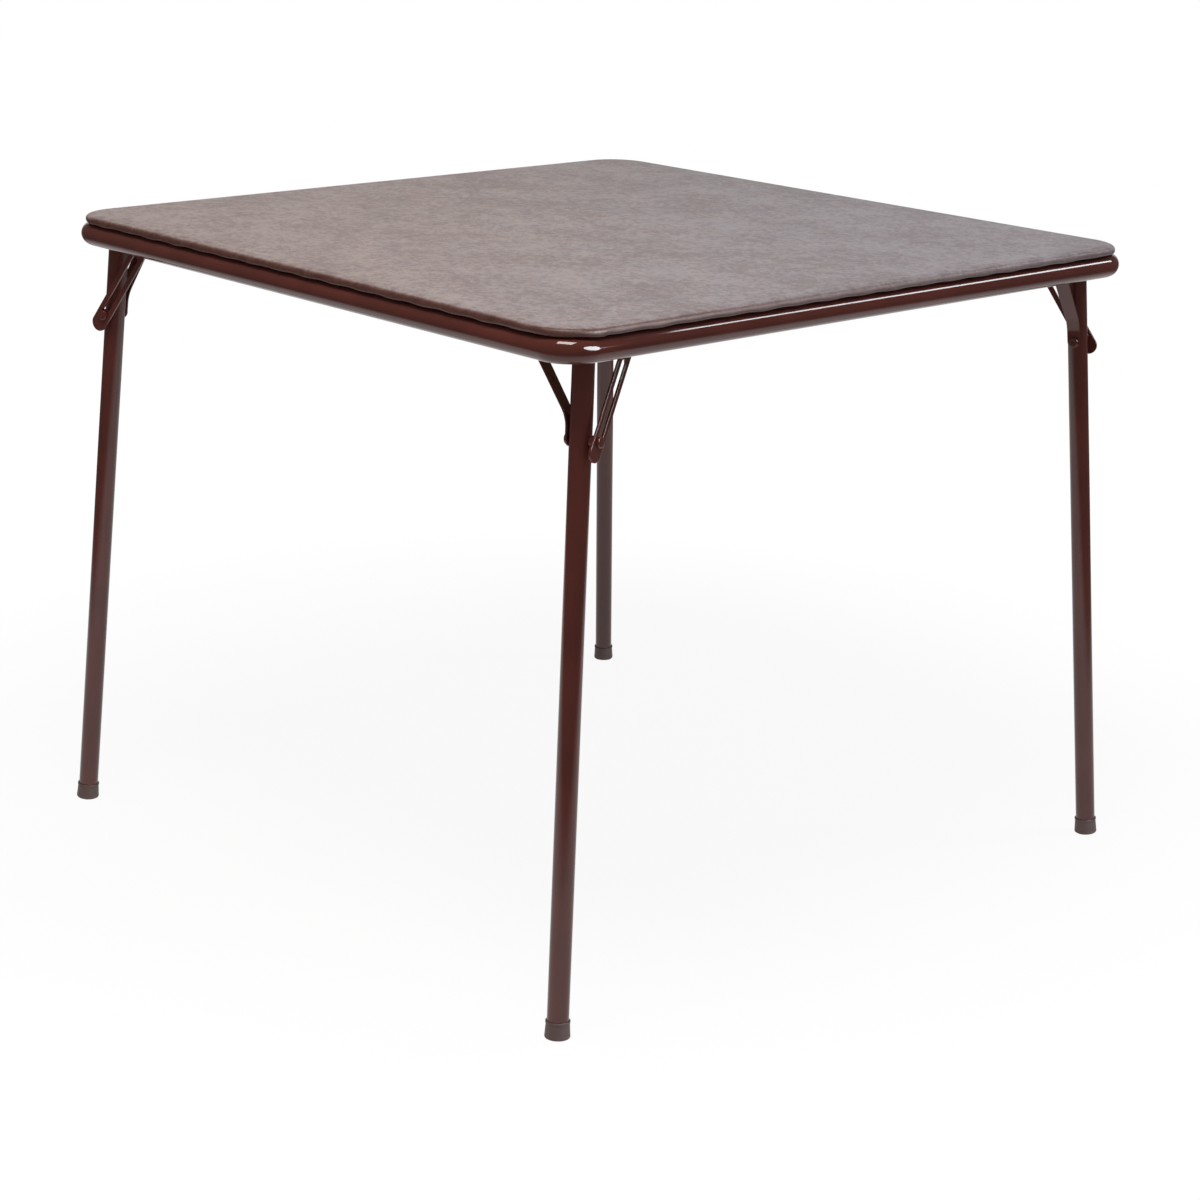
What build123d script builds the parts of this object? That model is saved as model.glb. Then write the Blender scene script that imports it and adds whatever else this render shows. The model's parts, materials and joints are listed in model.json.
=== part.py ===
from build123d import *
import os
from math import atan2, cos, degrees, hypot, radians, sin, sqrt

os.makedirs("parts", exist_ok=True)

# Folding card table, in millimetres. The origin is on the floor under the middle of the top, +Z up.
# The four corners are alike, each the next turned a quarter turn about Z.
# Corner order: front (+X, -Y), right (+X, +Y), back (-X, +Y), left (-X, -Y).
corner_names = ["front", "right", "back", "left"]
quarter_turn_deg = 90.0
board_sides = range(4)
ends = (-1, 1)

# Fits shared by all pieces
running_clearance = 0.08
seat_clearance = 0.1
side_clearance = 0.5
cut_overrun = 2.0

# Frame: one bent tube with its butt joint in one side
table_width = 851.0
frame_tube_diameter = 25.4
frame_tube_wall = 1.2
frame_corner_radius = 29.5
frame_centre_height = 683.3
seam_offset = -24.0
seam_gap = 0.4
sleeve_length = 70.0
sleeve_wall = 1.0

# Padded top: board, foam and a cover that is wrapped under the edge and stapled
pad_inset = 1.5
pad_thickness = 9.7
pad_corner_radius = 60.0
pad_top_edge_radius = 6.0
pad_bottom_edge_radius = 2.6
cover_thickness = 0.8
cover_slack = 0.15
board_thickness = 4.8
wrap_width = 32.0
wrap_corner_radius = 34.0
staple_pitch = 47.0
staples_per_side = 13
staple_width = 10.0
staple_wire = 1.2
staple_gauge = 0.6
staple_leg_length = 4.4
staple_from_wrap_edge = 5.0

# Screws that hold the frame and the hinge brackets to the board
screw_radius = 1.9
screw_bite = 3.6
screw_head_radius = 3.9
screw_head_height = 2.2
screw_drive_radius = 1.6
screw_drive_depth = 1.2
frame_screw_offsets = (-215.0, 215.0)

# Hinge line of a leg: where it is and how it is turned
hinge_side_offset = 22.5
hinge_corner_offset = 41.0
hinge_drop = 2.3
fold_direction_deg = 17.0
splay_deg = 4.8
lean_deg = 1.7

# Leg tube, foot and hinge plug
leg_diameter = 22.2
leg_wall = 1.0
leg_top_drop = 14.0
foot_height = 18.5
foot_top_radius = 12.0
foot_bottom_radius = 13.1
foot_floor = 5.0
foot_rim_height = 2.2
foot_rim_step = 0.5
foot_edge_radius = 2.2
plug_depth = 20.0
plug_shoulder = 2.0
plug_eye_width = 12.0
plug_eye_radius = 9.0

# Hinge rod and its bracket
rod_radius = 3.0
rod_reach = 14.0
rod_head_radius = 5.2
rod_head_height = 2.0
bracket_thickness = 2.0
bracket_foot_length = 26.0
bracket_front = 8.0
bracket_back = 28.0
bracket_bend_radius = 3.0
bracket_leaf_radius = 9.5
bracket_screw_inset = 14.0
bracket_screw_front = 1.0
bracket_screw_back = 19.0

# Strap, from the hinge rod down to the rivet in the leg
strap_thickness = 2.0
hinge_spread = 45.3
strap_eye_radius = 8.4
strap_foot_radius = 7.3
strap_lower_bend_drop = 67.0
strap_upper_bend_drop = 14.5
strap_lower_bend_radius = 34.0
strap_upper_bend_radius = 7.0

# Through rivet of the leg, and the pin with its collar that slides in the link
pivot_to_pin = 88.1
rivet_radius = 3.1
rivet_head_radius = 5.9
rivet_head_height = 2.4
rivet_dimple_radius = 1.9
rivet_dimple_depth = 1.4
link_gap = 7.0
pin_radius = 3.9
pin_head_radius = 5.7
pin_head_height = 2.4
collar_radius = 5.6
collar_flange_radius = 6.6
collar_flange_height = 1.2

# Slotted link and the stud in the frame tube that it turns on
link_pivot_offset = 52.5
link_width = 19.8
link_thickness = 2.4
link_tail = 11.0
slot_run = 81.4
stud_radius = 3.0
stud_head_radius = 5.4
stud_head_height = 2.0
stud_shoulder_radius = 5.2
stud_shoulder_height = 3.6
stud_reach = 9.5

# Sizes that follow
tube_radius = frame_tube_diameter / 2
frame_half = table_width / 2 - tube_radius
leg_radius = leg_diameter / 2
pad_half = table_width / 2 - pad_inset
pad_bottom = frame_centre_height + tube_radius + seat_clearance
pad_top = pad_bottom + pad_thickness
board_underside = pad_bottom + cover_thickness + cover_slack
hinge_height = frame_centre_height - hinge_drop
link_side = leg_radius + link_gap
link_middle = link_side + link_thickness / 2
pin_back = pivot_to_pin * sin(radians(splay_deg))
pin_drop = pivot_to_pin * cos(radians(splay_deg))
link_reach = hypot(link_pivot_offset + pin_back, pin_drop)
link_angle_deg = degrees(atan2(link_pivot_offset + pin_back, pin_drop))
leg_reach = hinge_height / (cos(radians(splay_deg)) * cos(radians(lean_deg)))
strap_side = -(leg_radius + seat_clearance)
strap_outside = strap_side - strap_thickness
leaf_middle = -(hinge_spread + strap_thickness / 2 + side_clearance + bracket_thickness / 2)

# Frames of the front corner: X along the hinge line, Y the way that the leg folds
turn = radians(fold_direction_deg)
lean = radians(lean_deg)
across = Vector(cos(turn), sin(turn), 0)
hinge_line = across * cos(lean) + Vector(0, 0, sin(lean))
hinge_point = Vector(frame_half - hinge_side_offset, hinge_corner_offset - frame_half, hinge_height)
upright = Vector(0, 0, cos(lean)) - across * sin(lean)
hinge_frame = Plane(origin=hinge_point, x_dir=hinge_line, z_dir=upright)
leg_frame = hinge_frame * Rot(X=-splay_deg)
link_frame = hinge_frame * Pos(Y=link_pivot_offset) * Rot(X=-link_angle_deg)
leaf_point = hinge_point + hinge_line * leaf_middle
leaf_frame = Plane(origin=leaf_point, x_dir=across, z_dir=Vector(0, 0, 1))


def rod_along_x(radius, start, end):
    """A round bar along X from one place to another."""
    return Pos(X=(start + end) / 2) * Rot(Y=quarter_turn_deg) * Cylinder(radius, end - start)


def rounded_slab(half_side, corner_radius, bottom, top):
    """A square plate with round corners, between two heights."""
    outline = RectangleRounded(2 * half_side, 2 * half_side, corner_radius)
    return extrude(Pos(Z=bottom) * outline, top - bottom)


def pad_form(inset):
    """The padded top's outside, drawn in evenly by an inset, with its soft edges."""
    slab = rounded_slab(pad_half - inset, pad_corner_radius - inset, pad_bottom + inset, pad_top - inset)
    slab = fillet(slab.faces().sort_by(Axis.Z)[-1].edges(), pad_top_edge_radius - inset)
    return fillet(slab.faces().sort_by(Axis.Z)[0].edges(), pad_bottom_edge_radius - inset)


def at_height(solid, low, high):
    """The part of a solid that lies between two heights."""
    slice_box = Pos(Z=(low + high) / 2) * Box(2 * table_width, 2 * table_width, high - low)
    return solid & slice_box


def on_side(index, piece):
    """A piece of the -Y side, turned to the side with that index."""
    return Rot(Z=quarter_turn_deg * index) * piece


def screw(head_seat, shank_top):
    """A pan-head screw that points up: its head hangs under the seat."""
    shank = Pos(Z=(head_seat + shank_top) / 2) * Cylinder(screw_radius, shank_top - head_seat)
    head = Pos(Z=head_seat - screw_head_height / 2) * Cylinder(screw_head_radius, screw_head_height)
    head = fillet(head.faces().sort_by(Axis.Z)[0].edges(), screw_head_height / 2)
    drive_height = screw_drive_depth + cut_overrun
    drive_middle = head_seat - screw_head_height + screw_drive_depth - drive_height / 2
    drive = Pos(Z=drive_middle) * Cylinder(screw_drive_radius, drive_height)
    return head - drive + shank


def screw_hole(low, high):
    """The clearance hole of a screw between two heights."""
    return Pos(Z=(low + high) / 2) * Cylinder(screw_radius + seat_clearance, high - low)


# Places of the screws
frame_screw_places = [Pos(offset, -frame_half) for offset in frame_screw_offsets]
bracket_screw_places = [
    leaf_frame * Pos(-bracket_screw_inset, place) for place in (bracket_screw_front, bracket_screw_back)
]
screw_tip = board_underside + screw_bite
hole_bottom = pad_bottom - cut_overrun
upright_holes = screw_hole(hole_bottom, screw_tip + seat_clearance)
board_holes = [on_side(side, place * upright_holes) for side in board_sides for place in frame_screw_places]
bracket_hole_places = [Pos(place.position.X, place.position.Y) for place in bracket_screw_places]
board_holes += [on_side(side, place * upright_holes) for side in board_sides for place in bracket_hole_places]

# Padded top
cavity = pad_form(cover_thickness)
wrap_low = pad_bottom - cut_overrun
wrap_high = pad_bottom + cover_thickness + cut_overrun
wrap_opening = rounded_slab(pad_half - wrap_width, wrap_corner_radius, wrap_low, wrap_high)
cover = pad_form(0) - cavity - wrap_opening - board_holes
filling = pad_form(cover_thickness + cover_slack)
board_top = board_underside + board_thickness
board = at_height(filling, board_underside - cut_overrun, board_top) - board_holes
foam = at_height(filling, board_top, pad_top + cut_overrun)

# Staples, their crowns on the wrapped margin of the cover
staple_line = pad_half - wrap_width + staple_from_wrap_edge
crown = Pos(Z=pad_bottom - staple_gauge / 2) * Box(staple_width, staple_wire, staple_gauge)
prong = Pos(Z=pad_bottom + staple_leg_length / 2) * Box(staple_gauge, staple_wire, staple_leg_length)
prong_offset = (staple_width - staple_gauge) / 2
staple = crown + [Pos(X=end * prong_offset) * prong for end in ends]
staple_steps = [step - (staples_per_side - 1) / 2 for step in range(staples_per_side)]
staples = [
    on_side(side, Pos(step * staple_pitch, -staple_line) * staple)
    for side in board_sides for step in staple_steps
]

# Frame tube, from one side of the butt joint round to the other
seam_start = (seam_offset + seam_gap / 2, -frame_half)
seam_end = (seam_offset - seam_gap / 2, -frame_half)
frame_corners = [(frame_half, -frame_half), (frame_half, frame_half), (-frame_half, frame_half)]
frame_corners.append((-frame_half, -frame_half))
frame_path = FilletPolyline(seam_start, *frame_corners, seam_end, radius=frame_corner_radius)
tube_start = Plane(origin=(*seam_start, 0), z_dir=(1, 0, 0))
tube_outside = sweep(tube_start * Circle(tube_radius), frame_path)
tube_inside = sweep(tube_start * Circle(tube_radius - frame_tube_wall), frame_path)
frame_tube = Pos(Z=frame_centre_height) * (tube_outside - tube_inside)
sleeve_radius = tube_radius - frame_tube_wall - seat_clearance
sleeve = rod_along_x(sleeve_radius, -sleeve_length / 2, sleeve_length / 2)
sleeve -= rod_along_x(sleeve_radius - sleeve_wall, -sleeve_length, sleeve_length)
frame_sleeve = Pos(seam_offset, -frame_half, frame_centre_height) * sleeve

# Hinge rod: its head is behind the bracket and its end is in the frame tube
leaf_back = leaf_middle - bracket_thickness / 2
rod_head_seat = leaf_back - side_clearance / 2
rod = rod_along_x(rod_radius, rod_head_seat, rod_reach)
rod_head = rod_along_x(rod_head_radius, rod_head_seat - rod_head_height, rod_head_seat)
rod_head = fillet(rod_head.faces().sort_by(Axis.X)[0].edges(), rod_head_height / 2)
hinge_rod = hinge_frame * (rod + rod_head)
rod_bore = rod_along_x(rod_radius + running_clearance, leaf_back - cut_overrun, rod_reach + cut_overrun)
rod_hole = hinge_frame * rod_bore

# Stud of the link, through the frame tube's inner wall
stud_seat = link_side - running_clearance
stud_outside = link_side + link_thickness + running_clearance
stud_end = stud_outside + stud_reach
stud = rod_along_x(stud_radius, stud_seat, stud_end)
stud_head = rod_along_x(stud_head_radius, stud_seat - stud_head_height, stud_seat)
stud_head = fillet(stud_head.faces().sort_by(Axis.X)[0].edges(), stud_head_height / 2)
stud_shoulder = rod_along_x(stud_shoulder_radius, stud_outside, stud_outside + stud_shoulder_height)
link_stud = hinge_frame * Pos(Y=link_pivot_offset) * (stud + stud_head + stud_shoulder)
stud_hole = rod_along_x(stud_radius + seat_clearance, stud_seat, stud_end + cut_overrun)
stud_hole = hinge_frame * Pos(Y=link_pivot_offset) * stud_hole

# Hinge bracket: a leaf round the rod, bent to a foot that is screwed to the board
leaf_top = pad_bottom - leaf_point.Z - bracket_thickness / 2
leaf_bottom = -(bracket_leaf_radius + cut_overrun)
bracket_line = FilletPolyline(
    (0, leaf_bottom), (0, leaf_top), (-bracket_foot_length, leaf_top), radius=bracket_bend_radius
)
bracket_width = bracket_front + bracket_back
bracket_strip = extrude(
    Plane.XZ * trace(bracket_line, line_width=bracket_thickness), bracket_width, both=True
)
leaf_outline = make_hull(
    (
        Circle(bracket_leaf_radius)
        + Pos((bracket_back - bracket_front) / 2, leaf_top) * Rectangle(bracket_width, 2 * bracket_thickness)
    ).edges()
)
leaf_block = extrude(Plane.YZ * leaf_outline, 2 * bracket_foot_length, both=True)
bracket = leaf_frame * (bracket_strip & leaf_block) - rod_hole
for place in bracket_hole_places:
    bracket -= place * upright_holes
hinge_bracket = bracket

# Frame tube's holes: each frame screw goes in through a wide hole below and holds by the upper wall
tube_bottom = frame_centre_height - tube_radius
tube_bore = tube_radius - frame_tube_wall
tube_screw_hole = screw_hole(frame_centre_height, pad_bottom + cut_overrun)
access_height = tube_radius + cut_overrun
access_hole = Cylinder(screw_head_radius + side_clearance, access_height)
access_hole = Pos(Z=frame_centre_height - access_height / 2) * access_hole
for side in board_sides:
    frame_tube -= on_side(side, rod_hole)
    frame_tube -= on_side(side, stud_hole)
    for place in frame_screw_places:
        frame_tube -= on_side(side, place * tube_screw_hole)
        frame_tube -= on_side(side, place * access_hole)

# Screws
frame_screw_seat = frame_centre_height + sqrt(tube_bore**2 - screw_head_radius**2) - seat_clearance / 2
frame_screw = screw(frame_screw_seat, screw_tip)
frame_screws = [on_side(side, place * frame_screw) for side in board_sides for place in frame_screw_places]
bracket_screw = screw(pad_bottom - bracket_thickness, screw_tip)
bracket_screws = [
    on_side(side, place * bracket_screw)
    for side in board_sides for place in bracket_hole_places
]

# Leg tube, down to the floor of its foot
tube_top_z = -leg_top_drop
tube_bottom_z = -(leg_reach - foot_floor)
leg_length = tube_top_z - tube_bottom_z
leg_tube_middle = (tube_top_z + tube_bottom_z) / 2
leg_tube = Pos(Z=leg_tube_middle) * Cylinder(leg_radius, leg_length)
leg_bore = leg_radius - leg_wall
leg_tube -= Pos(Z=leg_tube_middle) * Cylinder(leg_bore, leg_length + cut_overrun)
rivet_hole = rod_along_x(rivet_radius + seat_clearance, -link_side, link_side)
leg_tube -= Pos(Z=-pivot_to_pin) * rivet_hole
leg = leg_frame * leg_tube

# Foot: a moulded cap that flares to its round lower edge, cut flat where it stands
foot_outline = Polyline(
    (0, 0),
    (foot_bottom_radius, 0),
    (foot_top_radius, foot_height - foot_rim_height),
    (foot_top_radius + foot_rim_step, foot_height - foot_rim_height),
    (foot_top_radius + foot_rim_step, foot_height),
    (0, foot_height),
    close=True,
)
foot_face = make_face(Plane.XZ * foot_outline)
foot_solid = revolve(foot_face, Axis.Z)
foot_solid = fillet(foot_solid.faces().sort_by(Axis.Z)[0].edges(), foot_edge_radius)
foot_solid = fillet(foot_solid.faces().sort_by(Axis.Z)[-1].outer_wire().edges(), foot_rim_step)
foot_socket = leg_radius + seat_clearance
foot_solid -= Pos(Z=foot_floor - seat_clearance + foot_height / 2) * Cylinder(foot_socket, foot_height)
foot_placed = leg_frame * Pos(Z=-leg_reach) * foot_solid
foot = at_height(foot_placed, 0, hinge_height)

# Hinge plug: it is driven into the leg and ends in the eye that turns on the rod
plug_top = tube_top_z + plug_shoulder
plug = Pos(Z=tube_top_z - plug_depth / 2) * Cylinder(leg_bore - seat_clearance, plug_depth)
plug += Pos(Z=tube_top_z + plug_shoulder / 2) * Cylinder(leg_radius, plug_shoulder)
plug += Pos(Z=plug_top / 2) * Box(plug_eye_width, 2 * plug_eye_radius, -plug_top)
plug += rod_along_x(plug_eye_radius, -plug_eye_width / 2, plug_eye_width / 2)
plug -= rod_along_x(rod_radius + running_clearance, -plug_eye_width, plug_eye_width)
hinge_plug = leg_frame * plug

# Strap: flat on the leg, bent away from it, and upright again at its eye
strap_foot_x = strap_side - strap_thickness / 2
strap_line = FilletPolyline(
    (strap_foot_x, -(pivot_to_pin + strap_foot_radius + cut_overrun)),
    (strap_foot_x, -strap_lower_bend_drop),
    (-hinge_spread, -strap_upper_bend_drop),
    (-hinge_spread, strap_eye_radius + cut_overrun),
    radius=(strap_lower_bend_radius, strap_upper_bend_radius),
)
strap_strip = extrude(
    Plane.XZ * trace(strap_line, line_width=strap_thickness), strap_eye_radius + cut_overrun, both=True
)
strap_outline = make_hull(
    (Circle(strap_eye_radius) + Pos(Y=-pivot_to_pin) * Circle(strap_foot_radius)).edges()
)
strap_block = extrude(Plane.YZ * strap_outline, 2 * hinge_spread, both=True)
strap = strap_strip & strap_block
strap -= rod_along_x(rod_radius + running_clearance, -2 * hinge_spread, 0)
strap -= Pos(Z=-pivot_to_pin) * rod_along_x(rivet_radius + seat_clearance, -link_side, 0)
leg_strap = leg_frame * strap

# Rivet through strap and leg, with a dimple in its head
rivet_seat = strap_outside - seat_clearance
rivet = rod_along_x(rivet_radius, rivet_seat, leg_radius)
rivet_head = rod_along_x(rivet_head_radius, rivet_seat - rivet_head_height, rivet_seat)
rivet_head = fillet(rivet_head.faces().sort_by(Axis.X)[0].edges(), rivet_head_height / 2)
dimple_end = rivet_seat - rivet_head_height
rivet_head -= rod_along_x(rivet_dimple_radius, dimple_end - cut_overrun, dimple_end + rivet_dimple_depth)
leg_rivet = leg_frame * Pos(Z=-pivot_to_pin) * (rivet + rivet_head)

# Slotted link, hanging from its stud to the pin
slot_width = 2 * (pin_radius + running_clearance)
link_bottom = -(link_reach + link_tail)
slot_low = -link_reach
slot_high = slot_low + slot_run
link_face = make_hull(
    (Circle(link_width / 2) + Pos(Y=link_bottom) * Circle(link_width / 2)).edges()
)
link_face -= Circle(stud_radius + running_clearance)
slot_face = Rot(Z=quarter_turn_deg) * SlotCenterToCenter(slot_run, slot_width)
link_face -= Pos(Y=(slot_low + slot_high) / 2) * slot_face
link_plate = extrude(Plane.YZ * link_face, link_thickness)
link = link_frame * Pos(X=link_side) * link_plate

# Sliding pin and its collar: they stop short of the leg, and the pin's head is outside the link
pin_start = leg_radius + side_clearance
pin_head_start = link_side + link_thickness + side_clearance / 2
pin = rod_along_x(pin_radius, pin_start, pin_head_start)
pin_head = rod_along_x(pin_head_radius, pin_head_start, pin_head_start + pin_head_height)
pin_head = fillet(pin_head.faces().sort_by(Axis.X)[-1].edges(), pin_head_height / 2)
slide_pin = link_frame * Pos(Z=-link_reach) * (pin + pin_head)
collar_end = link_side - side_clearance / 2
collar = rod_along_x(collar_radius, pin_start, collar_end)
collar += rod_along_x(collar_flange_radius, collar_end - collar_flange_height, collar_end)
collar -= rod_along_x(pin_radius + running_clearance, 0, collar_end + cut_overrun)
slide_collar = link_frame * Pos(Z=-link_reach) * collar

# Nodes
nodes = {
    "top_cover": cover,
    "foam_pad": foam,
    "top_board": board,
    "staples": Compound(children=staples),
    "frame_tube": frame_tube,
    "frame_joint_sleeve": frame_sleeve,
    "frame_screws": Compound(children=frame_screws),
    "bracket_screws": Compound(children=bracket_screws),
}
corner_pieces = {
    "leg": leg,
    "foot": foot,
    "hinge_plug": hinge_plug,
    "leg_strap": leg_strap,
    "leg_rivet": leg_rivet,
    "slotted_link": link,
    "slide_pin": slide_pin,
    "slide_collar": slide_collar,
    "link_stud": link_stud,
    "hinge_rod": hinge_rod,
    "hinge_bracket": hinge_bracket,
}
for index, corner in enumerate(corner_names):
    for name, piece in corner_pieces.items():
        nodes[f"{corner}_{name}"] = on_side(index, piece)

for name, solid in nodes.items():
    export_step(solid, f"parts/{name}.step")

print(f"link reach {link_reach:.3f}, link angle {link_angle_deg:.3f}, leg reach {leg_reach:.3f}")
print(f"{len(nodes)} nodes")
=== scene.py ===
"""Looks of a square folding card table: studio, padded vinyl top, enamelled tube frame and four folding legs.

Lengths are in metres in the table's own frame: the origin is on the floor under the middle of the top, +Z up.
"""

import json
import logging
import math
from contextlib import contextmanager
from dataclasses import dataclass
from enum import Enum
from typing import Any, Dict, Iterator, List, Optional, Sequence, Tuple, Union

import bmesh
import bpy
import numpy as np
from mathutils import Matrix, Vector

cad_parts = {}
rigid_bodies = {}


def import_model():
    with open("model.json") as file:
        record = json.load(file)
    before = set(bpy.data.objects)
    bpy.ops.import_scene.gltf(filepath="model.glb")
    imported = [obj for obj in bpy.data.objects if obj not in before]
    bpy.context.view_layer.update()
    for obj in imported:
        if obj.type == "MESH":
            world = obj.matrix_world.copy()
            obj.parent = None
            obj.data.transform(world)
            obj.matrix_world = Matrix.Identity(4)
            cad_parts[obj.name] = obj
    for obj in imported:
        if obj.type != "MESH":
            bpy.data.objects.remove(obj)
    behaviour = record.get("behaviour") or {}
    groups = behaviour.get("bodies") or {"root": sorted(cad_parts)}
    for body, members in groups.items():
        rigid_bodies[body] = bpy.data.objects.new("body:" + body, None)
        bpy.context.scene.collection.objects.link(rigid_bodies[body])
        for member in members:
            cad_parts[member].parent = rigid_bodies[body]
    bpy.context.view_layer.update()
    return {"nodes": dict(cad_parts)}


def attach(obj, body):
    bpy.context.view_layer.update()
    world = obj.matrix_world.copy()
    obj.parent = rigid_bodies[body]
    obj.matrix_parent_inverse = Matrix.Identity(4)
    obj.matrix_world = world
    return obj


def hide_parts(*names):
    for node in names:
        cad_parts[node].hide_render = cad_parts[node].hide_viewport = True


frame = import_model()

log = logging.getLogger("card_table")

Colour = Tuple[float, float, float, float]
Value = Union["Wire", float, Sequence[float]]

MM = 0.001
WHITE: Colour = (1.0, 1.0, 1.0, 1.0)
QUARTER = math.pi / 2


class Place(Enum):
    """The four corners of the table, each a quarter turn about Z on from the front one."""

    FRONT = 0
    RIGHT = 1
    BACK = 2
    LEFT = 3

    @property
    def word(self) -> str:
        """The corner's name as its pieces carry it."""
        return self.name.lower()

    @property
    def turn(self) -> float:
        """The corner's turn about Z from the front one."""
        return self.value * QUARTER


class Slot(Enum):
    """The material slots of the table's record."""

    VINYL = "vinyl"
    FOAM = "foam"
    BOARD = "board"
    WIRE = "wire"
    FOOT_CAP = "foot_cap"
    PLATED = "plated_steel"
    ENAMEL = "brown_enamel"


def srgb(red: float, green: float, blue: float) -> Colour:
    """Turns display values from 0 to 255 into a linear colour.

    Args:
        red: Red display value.
        green: Green display value.
        blue: Blue display value.

    Returns:
        The linear colour with an alpha of 1.
    """
    shares = [channel / 255 for channel in (red, green, blue)]
    linear = [s / 12.92 if s <= 0.04045 else ((s + 0.055) / 1.055) ** 2.4 for s in shares]
    return (linear[0], linear[1], linear[2], 1.0)


class Wire:
    """An output socket of a node tree, on which Python arithmetic adds Math nodes."""

    def __init__(self, graph: "Graph", socket: bpy.types.NodeSocket) -> None:
        """Keeps the tree and the socket."""
        self.graph = graph
        self.socket = socket

    def math(self, operation: str, *values: Value) -> "Wire":
        """Adds one Math node.

        Args:
            operation: The Math node's operation.
            values: Its inputs, in order.

        Returns:
            The node's output.
        """
        return self.graph.add("ShaderNodeMath", {"operation": operation}, dict(enumerate(values)))

    def __add__(self, other: Value) -> "Wire":
        """Sum."""
        return self.math("ADD", self, other)

    def __radd__(self, other: Value) -> "Wire":
        """Sum, with the wire on the right."""
        return self.math("ADD", other, self)

    def __sub__(self, other: Value) -> "Wire":
        """Difference."""
        return self.math("SUBTRACT", self, other)

    def __rsub__(self, other: Value) -> "Wire":
        """Difference, with the wire on the right."""
        return self.math("SUBTRACT", other, self)

    def __mul__(self, other: Value) -> "Wire":
        """Product."""
        return self.math("MULTIPLY", self, other)

    def __rmul__(self, other: Value) -> "Wire":
        """Product, with the wire on the right."""
        return self.math("MULTIPLY", other, self)

    def __gt__(self, other: Value) -> "Wire":
        """1 where the wire is greater, else 0."""
        return self.math("GREATER_THAN", self, other)

    def clamp(self) -> "Wire":
        """The value held between 0 and 1."""
        return self.graph.add("ShaderNodeClamp", {}, {"Value": self})

    def rise(self, low: float, high: float) -> "Wire":
        """Rises smoothly from 0 to 1 between two values.

        Args:
            low: Where the rise starts.
            high: Where it ends.

        Returns:
            The risen value.
        """
        sockets = {"Value": self, "From Min": low, "From Max": high}
        return self.graph.add("ShaderNodeMapRange", {"interpolation_type": "SMOOTHSTEP"}, sockets)

    def swing(self, weight: float) -> "Wire":
        """Noise about 0.5, turned into a swing about 0."""
        return (self - 0.5) * weight

    def output(self, name: str) -> "Wire":
        """Another output of the same node."""
        return Wire(self.graph, self.socket.node.outputs[name])


class Graph:
    """A node tree that is written as Python expressions."""

    def __init__(self, tree: bpy.types.NodeTree) -> None:
        """Keeps the tree and empties it."""
        self.tree = tree
        tree.nodes.clear()

    def add(
        self,
        kind: str,
        settings: Optional[Dict[str, Any]] = None,
        sockets: Optional[Dict[Union[str, int], Any]] = None,
        output: Union[str, int] = 0,
    ) -> Wire:
        """Adds a node: its settings first, then the values or links of its sockets.

        Args:
            kind: The node's type.
            settings: Its properties, by name.
            sockets: Values or wires, by socket name or index.
            output: The output that is returned.

        Returns:
            That output.
        """
        node = self.tree.nodes.new(kind)
        for key, value in (settings or {}).items():
            setattr(node, key, value)
        for key, value in (sockets or {}).items():
            if isinstance(value, Wire):
                self.tree.links.new(value.socket, node.inputs[key])
            else:
                node.inputs[key].default_value = value
        return Wire(self, node.outputs[output])

    def end(self, kind: str, result: Wire) -> None:
        """Ends the tree.

        Args:
            kind: The output node's type.
            result: What goes into its first socket.
        """
        self.tree.links.new(result.socket, self.tree.nodes.new(kind).inputs[0])

    def rays(self) -> Tuple[Wire, Wire]:
        """Tells the kinds of ray apart.

        Returns:
            1 for a ray from the camera, and 1 for one that gloss or glass sends on.
        """
        path = self.add("ShaderNodeLightPath", output="Is Camera Ray")
        return path, (path.output("Is Glossy Ray") + path.output("Is Transmission Ray")).clamp()


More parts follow.
